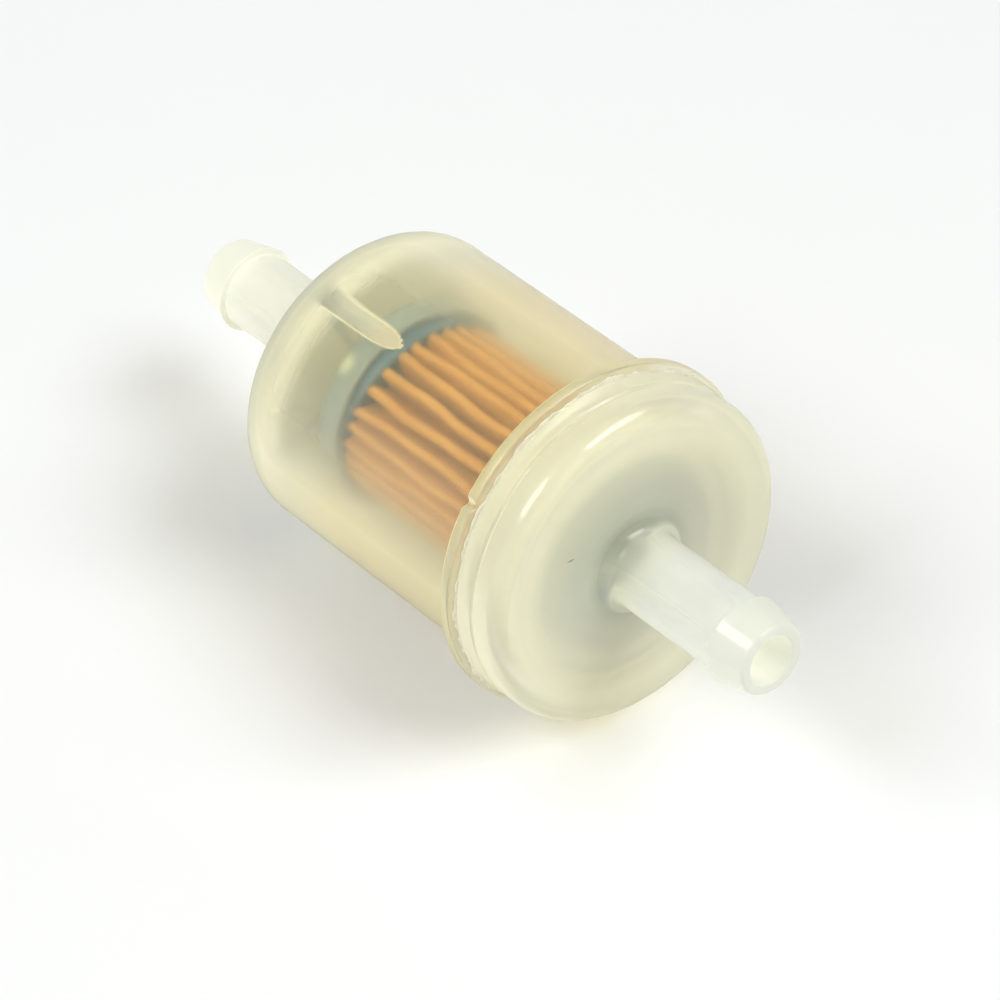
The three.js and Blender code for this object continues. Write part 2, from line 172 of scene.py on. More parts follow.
def outline(corners, step):
    """A closed outline from (x, r, fillet radius) corners, with no straight longer than step."""
    points = []
    for i, (x, r, radius) in enumerate(corners):
        before = corners[i - 1][:2]
        after = corners[(i + 1) % len(corners)][:2]
        points += fillet(before, (x, r), after, radius)
    divided = []
    for i, point in enumerate(points):
        nearest = Vector(point)
        following = Vector(points[(i + 1) % len(points)])
        parts = max(1, math.ceil((following - nearest).length / step))
        divided += [tuple(nearest.lerp(following, k / parts)) for k in range(parts)]
    return divided


def new_piece(name, vertices, faces, material, replaced):
    """Makes a smooth mesh piece from points in millimetres, in place of CAD nodes."""
    mesh = bpy.data.meshes.new(name)
    mesh.from_pydata([Vector(v) * MM for v in vertices], [], faces)
    mesh.validate()
    for polygon in mesh.polygons:
        polygon.use_smooth = True
    mesh.materials.append(material)
    piece = bpy.data.objects.new(name, mesh)
    bpy.context.collection.objects.link(piece)
    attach(piece, "root")
    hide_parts(*replaced)
    return piece


def revolve(profile, steps, shape):
    """Turns a closed profile of (x, r) points about X. shape(x, r, degrees) may move a point."""
    vertices = []
    faces = []
    count = len(profile)
    for k in range(steps):
        angle = 360 * k / steps
        cosine = math.cos(math.radians(angle))
        sine = math.sin(math.radians(angle))
        for x, r in profile:
            if shape:
                x, r = shape(x, r, angle)
            vertices.append((x, r * cosine, r * sine))
    for k in range(steps):
        this_ring = k * count
        next_ring = ((k + 1) % steps) * count
        for i in range(count):
            j = (i + 1) % count
            faces.append((this_ring + i, this_ring + j, next_ring + j, next_ring + i))
    return vertices, faces


def face_outwards(piece):
    """Turns a closed piece's faces outwards."""
    mesh = bmesh.new()
    mesh.from_mesh(piece.data)
    bmesh.ops.recalc_face_normals(mesh, faces=mesh.faces)
    mesh.to_mesh(piece.data)
    mesh.free()
    return piece


def turned_piece(
    name, corners, material, replaced, shape=None, steps=TURN_STEPS, step=LONGEST_STRAIGHT
):
    """A closed piece turned about X from the corners of its outline."""
    vertices, faces = revolve(outline(corners, step), steps, shape)
    return face_outwards(new_piece(name, vertices, faces, material, replaced))


def smoothstep(value):
    """A smooth rise from 0, for values up to 0, to 1, for values from 1 on."""
    value = min(max(value, 0.0), 1.0)
    return value * value * (3 - 2 * value)


def angle_between(a, b):
    """Smallest difference between two angles, in degrees, signed."""
    return (a - b + 180) % 360 - 180


# ---------------------------------------------------------------- node helpers


class Nodes:
    """A short way to write a material's node tree."""

    def __init__(self, name):
        """Starts an empty material with this name."""
        self.material = bpy.data.materials.new(name)
        self.material.use_nodes = True
        self.tree = self.material.node_tree
        self.tree.nodes.clear()
        self.output = self.add("ShaderNodeOutputMaterial")

    def add(self, kind, **settings):
        """Adds a node of any kind."""
        node = self.tree.nodes.new(kind)
        for name, value in settings.items():
            setattr(node, name, value)
        return node

    def link(self, source, target):
        """Joins an output socket to an input socket."""
        self.tree.links.new(source, target)

    def feed(self, socket, value):
        """Sets a socket to a constant, or links another node's output to it."""
        if isinstance(value, bpy.types.NodeSocket):
            self.link(value, socket)
        elif isinstance(value, tuple) and len(value) == 3 and socket.type == "RGBA":
            socket.default_value = (*value, 1.0)
        else:
            socket.default_value = value

    def position(self, scale=(1, 1, 1)):
        """Place on the piece, in metres, stretched along the axes."""
        coordinates = self.add("ShaderNodeTexCoord")
        mapping = self.add("ShaderNodeMapping")
        mapping.inputs["Scale"].default_value = scale
        self.link(coordinates.outputs["Object"], mapping.inputs["Vector"])
        return mapping.outputs["Vector"]

    def along_x(self, start, end):
        """0 to 1 from one place on the filter's axis to another, in millimetres."""
        place = self.add("ShaderNodeSeparateXYZ")
        self.link(self.position(), place.inputs["Vector"])
        return self.scaled(place.outputs["X"], 0.0, 1.0, start * MM, end * MM)

    def noise(self, scale, detail=4.0, roughness=0.55, stretch=(1, 1, 1), distortion=0.0):
        """Cloudy values from 0 to 1."""
        node = self.add("ShaderNodeTexNoise")
        self.link(self.position(stretch), node.inputs["Vector"])
        node.inputs["Scale"].default_value = scale
        node.inputs["Detail"].default_value = detail
        node.inputs["Roughness"].default_value = roughness
        node.inputs["Distortion"].default_value = distortion
        return node.outputs["Fac"]

    def ramp(self, value, stops):
        """A colour between (place, colour) stops."""
        node = self.add("ShaderNodeValToRGB")
        elements = node.color_ramp.elements
        while len(elements) < len(stops):
            elements.new(0.5)
        for element, (place, colour) in zip(elements, stops):
            element.position = place
            element.color = (*colour, 1.0)
        self.link(value, node.inputs["Fac"])
        return node.outputs["Color"]

    def math(self, operation, a, b):
        """One number made of two."""
        node = self.add("ShaderNodeMath", operation=operation)
        self.feed(node.inputs[0], a)
        self.feed(node.inputs[1], b)
        return node.outputs["Value"]

    def scaled(self, value, low, high, from_low=0.0, from_high=1.0, smooth=False):
        """Maps a value from one range to another."""
        node = self.add("ShaderNodeMapRange")
        node.interpolation_type = "SMOOTHSTEP" if smooth else "LINEAR"
        self.feed(node.inputs["Value"], value)
        node.inputs["From Min"].default_value = from_low
        node.inputs["From Max"].default_value = from_high
        node.inputs["To Min"].default_value = low
        node.inputs["To Max"].default_value = high
        return node.outputs["Result"]

    def mixed(self, factor, a, b, blend="MIX"):
        """One colour made of two."""
        node = self.add("ShaderNodeMix", data_type="RGBA", blend_type=blend)
        self.feed(node.inputs["Factor"], factor)
        self.feed(node.inputs["A"], a)
        self.feed(node.inputs["B"], b)
        return node.outputs["Result"]

    def blend(self, factor, a, b):
        """One shader made of two."""
        node = self.add("ShaderNodeMixShader")
        self.feed(node.inputs["Fac"], factor)
        self.link(a, node.inputs[1])
        self.link(b, node.inputs[2])
        return node.outputs["Shader"]

    def spot(self, centre, size):
        """1 at a place given in millimetres, falling to 0 at the edge of a soft patch round it."""
        coordinates = self.add("ShaderNodeTexCoord")
        offset = self.add("ShaderNodeVectorMath", operation="SUBTRACT")
        self.link(coordinates.outputs["Object"], offset.inputs[0])
        offset.inputs[1].default_value = [value * MM for value in centre]
        scaled = self.add("ShaderNodeVectorMath", operation="DIVIDE")
        self.link(offset.outputs["Vector"], scaled.inputs[0])
        scaled.inputs[1].default_value = [value * MM for value in size]
        distance = self.add("ShaderNodeVectorMath", operation="LENGTH")
        self.link(scaled.outputs["Vector"], distance.inputs[0])
        return self.scaled(distance.outputs["Value"], 1.0, 0.0, smooth=True)

    def bump(self, height, strength, distance):
        """A surface that seems to rise and fall with a value."""
        node = self.add("ShaderNodeBump")
        node.inputs["Strength"].default_value = strength
        node.inputs["Distance"].default_value = distance
        self.link(height, node.inputs["Height"])
        return node.outputs["Normal"]

    def principled(self, **values):
        """A Principled shader. Each value is named after its socket."""
        node = self.add("ShaderNodeBsdfPrincipled")
        for name, value in values.items():
            self.feed(node.inputs[name.replace("_", " ")], value)
        return node.outputs["BSDF"]

    def with_glow(self, share, surface, colour):
        """The surface, with a share of the light coming through it and not off it."""
        glow = self.add("ShaderNodeBsdfTranslucent")
        self.link(colour, glow.inputs["Color"])
        return self.blend(share, surface, glow.outputs["BSDF"])

    def finish(self, shader):
        """Puts the shader on the surface and gives the material."""
        self.link(shader, self.output.inputs["Surface"])
        return self.material


# ---------------------------------------------------------------- materials

# Noise scales are per metre and bump distances are in metres.

# How milky the nylon is: the share of the light that its surface scatters, seen square on.
WALL_MILK = 0.18
INNER_MILK = 0.65
END_MILK = 0.85  # of the cup's closed end
RIB_MILK = 0.93
FLANGE_MILK = 0.42
CAP_MILK = 0.66
SKIRT_MILK = 0.75  # of the cap, over the gap round the filter element
ROOT_MILK = 0.46  # of the cap, round its stem
STEM_MILK = 0.74
TIP_MILK = 0.92
EDGE_ON_MILK = 0.93  # added where a wall is seen edge on
MOST_MILK = 0.95
MILK_GLOW_SHARE = 0.5  # how much of the scattered light comes through the wall and not off it
COAT = {"Coat_Weight": 0.8, "Coat_Roughness": 0.05}  # nylon's gloss

# Ranges of the milk, and of how edge on a wall is seen, over which the nylon's look changes.
THICK_MILK = (0.68, 0.86)  # above it a wall is milky from inside as well
RIBS_ONLY_MILK = (0.86, 0.92)  # nothing else in the cup is as milky
EDGE_ON = (0.28, 0.68)

# Places along the axis between which one look turns into the next.
PAPER_GLOW_X = (-13, -4)
CLOSED_END_X = (-13.5, -16)
CUP_TO_CAP_X = (13.5, 14.5)
CAP_TO_STEM_X = (19.5, 24)
CUP_TO_STEM_X = (-19.5, -24)
OUTLET_TIP_X = (31, 33.5)
INLET_SIDE_X = (0.1, -0.1)
PALE_GLASS_X = (11, 12.5)

SPECK_CENTRE = (CAP_FACE_X, -7.0, 4.15)  # of a small dark fleck moulded into the cap's face
SPECK_SIZE = (2.0, 0.55, 0.13)
OPEN_CAP_SHADE_CENTRE = (CAP_FACE_X, -2, 2)  # of a painted darker patch where the open end cap shows through the cap
OPEN_CAP_SHADE_SIZE = (4, 12, 12)
RIM_HIGHLIGHT_CENTRE = (-10.7, -6.3, 7.0)  # of a painted highlight on the closed end cap's rim
RIM_HIGHLIGHT_SIZE = (1.3, 1.5, 1.5)


def nylon_tint(n, milk, flow):
    """Colour of the light that nylon scatters: warm over the paper, where a painted glow stands
    for the orange paper's light through the wall, and greener at the cap, with a painted darker
    patch where the open end cap shows through.
    """
    cup = n.mixed(n.scaled(flow, 0.1, 0.9), (0.98, 0.96, 0.78), (0.96, 0.94, 0.75))
    # Painted glow: the cup is tinted warmer where the orange paper lies behind its wall.
    cup = n.mixed(n.along_x(*PAPER_GLOW_X), cup, (0.98, 0.935, 0.62))
    is_rib = n.scaled(milk, 0.0, 1.0, *RIBS_ONLY_MILK)
    cup = n.mixed(is_rib, cup, (0.70, 0.74, 0.84), "MULTIPLY")
    cup = n.mixed(n.along_x(*CLOSED_END_X), cup, (0.76, 0.78, 0.79), "MULTIPLY")
    cap = n.mixed(flow, (0.94, 0.93, 0.75), (0.92, 0.915, 0.725))
    # Painted shade: a darker green patch on the cap stands for the open end cap seen through it.
    open_cap_shade = n.spot(OPEN_CAP_SHADE_CENTRE, OPEN_CAP_SHADE_SIZE)
    cap = n.mixed(open_cap_shade, cap, (0.83, 0.885, 0.70))
    body = n.mixed(n.along_x(*CUP_TO_CAP_X), cup, cap)
    outlet = n.mixed(n.along_x(*OUTLET_TIP_X), (0.83, 0.855, 0.82), (0.825, 0.84, 0.78))
    stems = n.mixed(n.along_x(*INLET_SIDE_X), outlet, (0.91, 0.92, 0.85))
    is_stem = n.math("MAXIMUM", n.along_x(*CAP_TO_STEM_X), n.along_x(*CUP_TO_STEM_X))
    tint = n.mixed(is_stem, body, stems)
    speck = n.math("MULTIPLY", n.spot(SPECK_CENTRE, SPECK_SIZE), 0.8)
    return n.mixed(speck, tint, (0.16, 0.15, 0.12))


def nylon_glass(n, milk, flow, polish):
    """The clear part of nylon, which the filter element is seen through."""
    is_pale = n.math("MAXIMUM", n.along_x(*PALE_GLASS_X), n.along_x(*CUP_TO_STEM_X))
    return n.principled(
        Base_Color=n.mixed(is_pale, (1.0, 0.985, 0.89), (0.995, 0.99, 0.945)),
        Roughness=n.math("ADD", n.scaled(flow, 0.11, 0.13), n.scaled(milk, 0.0, 0.16)),
        IOR=1.3,
        Transmission_Weight=1.0,
        Normal=polish,
        **COAT,
    )


def nylon_veil(n, tint, polish):
    """The milky part of nylon: light scattered off the wall and light that glows through it."""
    veil = n.principled(
        Base_Color=tint,
        Roughness=0.3,
        IOR=1.46,
        Specular_IOR_Level=0.15,
        Normal=polish,
        **COAT,
    )
    return n.with_glow(MILK_GLOW_SHARE, veil, tint)


def veil_share(n, milk):
    """How much of the wall is veil. A thin wall has none where it is seen from inside."""
    facing = n.add("ShaderNodeLayerWeight")
    facing.inputs["Blend"].default_value = 0.5
    edge_on = n.scaled(facing.outputs["Facing"], 0.0, EDGE_ON_MILK, *EDGE_ON, smooth=True)
    share = n.math("MINIMUM", n.math("ADD", milk, edge_on), MOST_MILK)
    side = n.add("ShaderNodeNewGeometry")
    from_outside = n.math("SUBTRACT", 1.0, side.outputs["Backfacing"])
    is_thick = n.scaled(milk, 0.0, 1.0, *THICK_MILK)
    return n.math("MULTIPLY", share, n.math("MAXIMUM", from_outside, is_thick))


def nylon():
    """Natural nylon: glossy outside, milky where it is thick or seen edge on."""
    n = Nodes("natural_nylon")
    flow = n.noise(60, detail=5, stretch=(0.35, 1, 1), distortion=0.6)
    polish = n.bump(n.noise(260, detail=2), strength=0.04, distance=0.00006)
    milk = n.add("ShaderNodeAttribute", attribute_name="milk").outputs["Fac"]
    glass = nylon_glass(n, milk, flow, polish)
    veil = nylon_veil(n, nylon_tint(n, milk, flow), polish)
    wall = n.blend(veil_share(n, milk), glass, veil)
    # Lamps shine through the wall, as they do through a thin milky plastic.
    lamp_light = n.add("ShaderNodeBsdfTransparent")
    n.link(n.mixed(milk, (0.9, 0.885, 0.84), (0.66, 0.635, 0.56)), lamp_light.inputs["Color"])
    ray = n.add("ShaderNodeLightPath")
    return n.finish(n.blend(ray.outputs["Is Shadow Ray"], wall, lamp_light.outputs["BSDF"]))


def melted_nylon():
    """The same nylon where the weld melted it: whiter, frothy and wet looking."""
    n = Nodes("melted_nylon")
    froth = n.noise(1100, detail=3)
    colour = n.ramp(froth, [(0.3, (0.80, 0.77, 0.64)), (0.7, (0.96, 0.94, 0.84))])
    bead = n.principled(
        Base_Color=colour,
        Roughness=n.scaled(froth, 0.15, 0.35),
        IOR=1.5,
        Normal=n.bump(froth, strength=0.3, distance=0.0001),
        **COAT,
    )
    return n.finish(n.with_glow(0.35, bead, colour))


def filter_paper():
    """Resin-dipped paper: fibres, blotches and a little light through the sheet."""
    n = Nodes("filter_paper")
    fibres = n.noise(450, detail=2, roughness=0.5, stretch=(0.4, 1, 1))
    blotches = n.noise(160, detail=3)
    base = n.ramp(fibres, [(0.25, (0.605, 0.303, 0.066)), (0.75, (0.715, 0.40, 0.098))])
    colour = n.mixed(n.scaled(blotches, 0.0, 0.35), base, (0.62, 0.27, 0.06))
    sheet = n.principled(
        Base_Color=colour,
        Roughness=n.scaled(fibres, 0.55, 0.85),
        Specular_IOR_Level=0.35,
        Normal=n.bump(fibres, strength=0.12, distance=0.0001),
    )
    return n.finish(n.with_glow(0.3, sheet, colour))


def end_cap_plastic():
    """Blue-grey plastic of the element's end caps, with a painted highlight on the closed one's
    rim.
    """
    n = Nodes("end_cap_plastic")
    grain = n.noise(1500, detail=4)
    wear = n.noise(120, detail=5)
    base = n.ramp(wear, [(0.3, (0.14, 0.20, 0.215)), (0.8, (0.20, 0.27, 0.275))])
    # Painted highlight: a pale patch on the closed end cap's rim stands for a soft reflection of a
    # light.
    painted_highlight = n.math("MULTIPLY", n.spot(RIM_HIGHLIGHT_CENTRE, RIM_HIGHLIGHT_SIZE), 0.75)
    shell = n.principled(
        Base_Color=n.mixed(painted_highlight, base, (0.62, 0.66, 0.46)),
        Roughness=n.scaled(wear, 0.16, 0.26),
        Specular_IOR_Level=0.8,
        Coat_Weight=0.7,
        Coat_Roughness=0.15,
        Normal=n.bump(grain, strength=0.15, distance=0.00005),
    )
    return n.finish(shell)


def potting_compound():
    """Dark blue compound that the paper's ends are set in."""
    n = Nodes("potting_compound")
    lumps = n.noise(500, detail=3, distortion=0.8)
    cured = n.principled(
        Base_Color=n.ramp(lumps, [(0.3, (0.02, 0.10, 0.17)), (0.8, (0.04, 0.14, 0.22))]),
        Roughness=n.scaled(lumps, 0.25, 0.5),
        Normal=n.bump(lumps, strength=0.5, distance=0.0002),
    )
    return n.finish(cured)


def core_plastic():
    """Pale plastic of the perforated core."""
    n = Nodes("core_plastic")
    grain = n.noise(900, detail=4)
    shell = n.principled(
        Base_Color=n.ramp(grain, [(0.3, (0.60, 0.59, 0.50)), (0.8, (0.72, 0.71, 0.62))]),
        Roughness=n.scaled(grain, 0.4, 0.6),
        Subsurface_Weight=0.2,
        Normal=n.bump(grain, strength=0.2, distance=0.00005),
    )
    return n.finish(shell)


def seam_glue():
    """Brown glue of the seam."""
    n = Nodes("seam_glue")
    beads = n.noise(700, detail=3)
    glue = n.principled(
        Base_Color=n.ramp(beads, [(0.3, (0.22, 0.12, 0.04)), (0.8, (0.40, 0.24, 0.09))]),
        Roughness=n.scaled(beads, 0.25, 0.5),
        Normal=n.bump(beads, strength=0.6, distance=0.0002),
    )
    return n.finish(glue)


def gasket_rubber():
    """Black rubber of the gasket."""
    n = Nodes("gasket_rubber")
    grain = n.noise(1800, detail=5)
    rubber = n.principled(
        Base_Color=n.ramp(grain, [(0.3, (0.010, 0.010, 0.011)), (0.8, (0.030, 0.030, 0.032))]),
        Roughness=n.scaled(grain, 0.65, 0.9),
        Normal=n.bump(grain, strength=0.4, distance=0.00008),
    )
    return n.finish(rubber)


def studio_floor():
    """Matt white paper under the filter."""
    n = Nodes("studio_floor")
    paper = n.noise(9, detail=6)
    sheet = n.principled(
        Base_Color=n.ramp(paper, [(0.3, (0.795, 0.81, 0.815)), (0.7, (0.81, 0.825, 0.83))]),
        Roughness=0.7,
        Normal=n.bump(n.noise(900, detail=4), strength=0.05, distance=0.0001),
    )
    return n.finish(sheet)


# ---------------------------------------------------------------- cup

# Where the plastic's milk changes, and the length over which it does.
STEM_START_X = 19.9
BARB_START_X = 30.5
STEM_MILK_LENGTH = 3
END_START_INSIDE_X = -10.6
END_START_OUTSIDE_X = -12.6
END_MILK_LENGTH = 3.4
RIB_MILK_START = 1.4  # of the offset from a rib's middle, where 1 is the rib's edge
RIB_MILK_LENGTH = 0.5

PARTING_ANGLES = [147, 327]
PARTING_HEIGHT = 0.045
PARTING_HALF_WIDTH = 1.3  # degrees
PARTING_END_GAP = 0.3  # the line stops this far from the cap's face and from the barb

# A point belongs to a surface when it is this near to it, because fillets move points off it.
STEM_SLACK = 0.25
RIB_WALL_SLACK = 0.3
END_WALL_SLACK = 0.1
MILK_SLACK = 0.2
END_SKIN = 0.5  # points this near to the closed end's face are on its outside


def stem_share(x):
    """0 on the filter's body and 1 on its stems."""
    return smoothstep((abs(x) - STEM_START_X) / STEM_MILK_LENGTH)


def tip_milk(x):
    """Milk of a stem, which is thickest in its barb."""
    barb_share = smoothstep((abs(x) - BARB_START_X) / STEM_MILK_LENGTH)
    return STEM_MILK + (TIP_MILK - STEM_MILK) * barb_share


def set_milk(piece, milk_at):
    """Stores how milky the plastic is at each vertex. milk_at takes x, r and degrees."""
    milk = piece.data.attributes.new("milk", "FLOAT", "POINT")
    for vertex, value in zip(piece.data.vertices, milk.data):
        x, y, z = vertex.co / MM
        value.value = milk_at(x, math.hypot(y, z), math.degrees(math.atan2(z, y)))


def barb_corners(face_x):
    """Corners of the +X barb, from its bore to the root of its stem, as (x, r, fillet radius)."""
    return [
        (TIP_X, BORE_RADIUS, 0.25),
        (TIP_X, BARB_TIP_RADIUS, 0.35),
        (BARB_BACK_X, BARB_RADIUS, 0.1),
        (BARB_BACK_X - BARB_BACK_SLOPE, STEM_RADIUS, 0.12),
        (face_x, STEM_RADIUS, ROOT_FILLET),
    ]


def mirrored(corners):
    """The same outline at the filter's other end."""
    return [(-x, r, radius) for x, r, radius in corners]


def parting_line(x, r, angle):
    """Height of the fine ridge that the mould's two halves leave along the stems."""
    is_along_stem = CAP_FACE_X + PARTING_END_GAP < abs(x) < BARB_BACK_X - PARTING_END_GAP
    if not is_along_stem or abs(r - STEM_RADIUS) >= STEM_SLACK:
        return 0.0
    off = min(abs(angle_between(angle, side)) for side in PARTING_ANGLES)
    return PARTING_HEIGHT * max(0.0, 1 - off / PARTING_HALF_WIDTH)


def rib_offset(x, angle):
    """How far a place is from the middle of the nearest rib, where 1 is the rib's edge."""
    tip = min(1.0, (RIB_TIP_X - x) / RIB_TIP_LENGTH)
    if tip <= 0:
        return math.inf
    off = min(abs(angle_between(angle, rib)) for rib in RIB_ANGLES)
    across = math.radians(off) * CUP_INNER_RADIUS / (RIB_WIDTH / 2)
    return across / math.sqrt(1 - (1 - tip) ** 2)


def rib_height(x, angle):
    """How far a locating rib stands in from the cup's inner wall: a tongue that sinks into it."""
    offset = rib_offset(x, angle)
    if offset >= 1:
        return 0.0
    along = (RIB_TIP_X - x) / (RIB_TIP_X - RIB_CREST_END_X)
    height = (CUP_INNER_RADIUS - RIB_CREST_RADIUS) * min(along, 1.0)
    return height * (1 - offset ** 4) ** 0.5


def cup_shape(x, r, angle):
    """Adds the ribs, the notch in the flange and the parting line to the turned cup."""
    is_inner_wall = RIB_CREST_RADIUS < r < CUP_INNER_RADIUS + RIB_WALL_SLACK
    if is_inner_wall and CUP_END_X + WALL - END_WALL_SLACK < x < RIB_TIP_X:
        r = min(r, CUP_INNER_RADIUS - rib_height(x, angle))
    if r > FLANGE_RADIUS - NOTCHED_RIM:
        off = abs(angle_between(angle, NOTCH_ANGLE)) / NOTCH_HALF_WIDTH
        r -= NOTCH_DEPTH * smoothstep(1 - off)
    return x, r + parting_line(x, r, angle)


def cup_milk(x, r, angle):
    """Milk of the cup: more on its inner surface, and most in its closed end and its ribs."""
    is_inside = r < CUP_INNER_RADIUS + MILK_SLACK and x > CUP_END_X + END_SKIN
    body = INNER_MILK if is_inside else WALL_MILK
    end_start = END_START_INSIDE_X if is_inside else END_START_OUTSIDE_X
    body += (END_MILK - body) * smoothstep((end_start - x) / END_MILK_LENGTH)
    if is_inside:
        rib_share = smoothstep((RIB_MILK_START - rib_offset(x, angle)) / RIB_MILK_LENGTH)
        body += (RIB_MILK - body) * rib_share
    if r > CUP_MOUTH_RADIUS + MILK_SLACK:
        body = FLANGE_MILK
    return body + (tip_milk(x) - body) * stem_share(x)


def make_cup(material):
    """The cup with its inlet barb, flange and locating ribs, in one moulding."""
    corners = mirrored(barb_corners(-CUP_END_X)) + [
        (CUP_END_X, CUP_RADIUS, CUP_CORNER),
        (FLANGE_BACK_X, CUP_MOUTH_RADIUS, 0.4),
        (FLANGE_BACK_X, FLANGE_RADIUS, 0.2),
        (FLANGE_FRONT_X, FLANGE_RADIUS, 0.2),
        (FLANGE_FRONT_X, CUP_MOUTH_RADIUS - WALL, 0.2),
        (CUP_END_X + WALL, CUP_INNER_RADIUS, CUP_CORNER - WALL),
        (CUP_END_X + WALL, BORE_RADIUS, 0.8),
    ]
    cup = turned_piece("cup", corners, material, ["filter_cup"], cup_shape, step=0.5)
    set_milk(cup, cup_milk)


# ---------------------------------------------------------------- cap and weld

ROOT_RING_OFFSET = 0.8  # from the stem's surface to the middle of a clearer ring round its root
ROOT_RING_WIDTH = 1.8
SKIRT_MILK_START = 10
SKIRT_MILK_RISE = 2
SKIRT_MILK_END = 13.9
SKIRT_MILK_FALL = 1.2

FLASH_WAVES = [(3, 0.5), (11, 0.8), (29, 0.8), (67, 0.4), (131, 0.15)]  # count round the rim, size
FLASH_DRIFT = 0.12  # how far the fin leans along the axis
FLASH_TAPER = 0.72  # how much thinner the fin is at its edge, as a share
FLASH_TAPER_CHANGE = 0.2
FLASH_RAGGEDNESS = 0.38  # how far the fin's edge wanders in and out
FLASH_INSET = 0.12


def cap_shape(x, r, angle):
    """Adds the parting line to the turned cap."""
    return x, r + parting_line(x, r, angle)


def cap_milk(x, r, _angle):
    """Milk of the cap: less in a ring round its stem, and more in a ring inside its rim."""
    from_ring = abs(r - STEM_RADIUS - ROOT_RING_OFFSET)
    root = smoothstep(1 - from_ring / ROOT_RING_WIDTH) if x > CAP_INNER_FACE_X else 0.0
    rise = smoothstep((r - SKIRT_MILK_START) / SKIRT_MILK_RISE)
    fall = smoothstep((SKIRT_MILK_END - r) / SKIRT_MILK_FALL)
    body = CAP_MILK + (ROOT_MILK - CAP_MILK) * root
    body += (SKIRT_MILK - CAP_MILK) * rise * fall
    return body + (tip_milk(x) - body) * stem_share(x)


def make_cap(material):
    """The cap with its outlet barb, and the spigot and the socket ring inside it."""
    corners = barb_corners(CAP_FACE_X) + [
        (CAP_FACE_X, CAP_RADIUS, CAP_CORNER),
        (CAP_GROOVE_X + CAP_GROOVE_HALF_WIDTH, CAP_RADIUS, 0.15),
        (CAP_GROOVE_X, CAP_RADIUS - CAP_GROOVE_DEPTH, 0.15),
        (CAP_GROOVE_X - CAP_GROOVE_HALF_WIDTH, CAP_RADIUS, 0.15),
        (CAP_BACK_X, CAP_RING_RADIUS, 0.15),
        (CAP_BACK_X, SKIRT_INNER_RADIUS, 0.15),
        (CAP_INNER_FACE_X, SKIRT_INNER_RADIUS, 0.6),
        (CAP_INNER_FACE_X, SPIGOT_RADIUS, 0.2),
        (SPIGOT_END_X, SPIGOT_RADIUS, 0.2),
        (SPIGOT_END_X, SPIGOT_INNER_RADIUS, 0.2),
        (CAP_INNER_FACE_X, SPIGOT_INNER_RADIUS, 0.2),
        (CAP_INNER_FACE_X, SOCKET_RADIUS + SOCKET_WALL, 0.2),
        (SOCKET_END_X, SOCKET_RADIUS + SOCKET_WALL, 0.2),
        (SOCKET_END_X, SOCKET_RADIUS, 0.2),
        (CAP_INNER_FACE_X, SOCKET_RADIUS, 0.2),
        (CAP_INNER_FACE_X, BORE_RADIUS, 0.8),
    ]
    cap = turned_piece("cap", corners, material, ["outlet_cap"], cap_shape, step=1.0)
    set_milk(cap, cap_milk)


def flash_wander(angle, seed):
    """A ragged value from -1 to 1 that closes on itself after a full turn."""
    turn = math.radians(angle)
    total = sum(size * math.sin(count * turn + seed * count) for count, size in FLASH_WAVES)
    return total / sum(size for _, size in FLASH_WAVES)


def flash_shape(x, r, angle):
    """Squeezes the weld's outer edge into a thin ragged fin beside the flange."""
    if r < FLASH_RADIUS - FLASH_HEIGHT:
        return x, r
    height = (r - FLASH_RADIUS + FLASH_HEIGHT) / FLASH_HEIGHT
    middle = FLASH_X + FLASH_DRIFT * flash_wander(angle, seed=2.3)
    taper = FLASH_TAPER + FLASH_TAPER_CHANGE * flash_wander(angle, seed=3.1)
    thickness = 1 - height * taper
    r += height * (FLASH_RAGGEDNESS * flash_wander(angle, seed=1.0) - FLASH_INSET)
    return middle + (x - middle) * thickness, r


def make_weld(material):
    """The ring of melted plastic between the cup and the cap."""
    corners = [
        (FLANGE_FRONT_X + WELD_GAP, WELD_INNER_RADIUS, 0.1),
        (FLANGE_FRONT_X + WELD_GAP, FLASH_RADIUS, 0.1),
        (CAP_BACK_X - WELD_GAP, FLASH_RADIUS, 0.1),
        (CAP_BACK_X - WELD_GAP, WELD_INNER_RADIUS, 0.1),
    ]
    turned_piece("weld", corners, material, ["weld_bead"], flash_shape, WELD_STEPS, step=0.2)


# ---------------------------------------------------------------- filter element

FOLD_STEPS = 6
FOLD_SWEEP = 80  # degrees that a fold's arc turns to each side
PAPER_RINGS = 44  # divisions of the paper along its length

# How the folds lean along their length.
LEAN_PHASE = 2.4  # radians from one fold to the next
LEAN_WAVES = [(0.9, 0.32, 1.0), (0.5, 0.75, 1.7)]  # degrees, radians per mm, share of the phase
LEAN_SEAM_REACH = 3  # folds beside the seam strip over which the lean dies away
INNER_FOLD_LEAN = 0.4  # as a share of the outer folds' lean

# How the folds are bunched round the element: a wave round it, in degrees.
GATHER_MIDDLE = 2.3
GATHER_SWING = 1.8
GATHER_BUNCHES = 4
GATHER_CREST_FOLD = 2.8
GATHER_SEAM_REACH = 4


def potting_slope(r, angle):
    """How far the inlet end's potting climbs or falls at a place, from its height on the axis."""
    climb = POTTING_RISE / PLEAT_OUTER_RADIUS
    return climb * r * math.cos(math.radians(angle - POTTING_HIGH_SIDE))


def seam_distance(pleat):
    """How many folds away the seam strip is."""
    return abs(pleat - SEAM_VALLEY - 0.5)


def pleat_lean(x, pleat):
    """Sideways lean of one fold, in degrees, as hand-gathered paper has."""
    phase = LEAN_PHASE * pleat
    waves = [size * math.sin(rate * x + share * phase) for size, rate, share in LEAN_WAVES]
    return smoothstep(seam_distance(pleat) / LEAN_SEAM_REACH) * sum(waves)


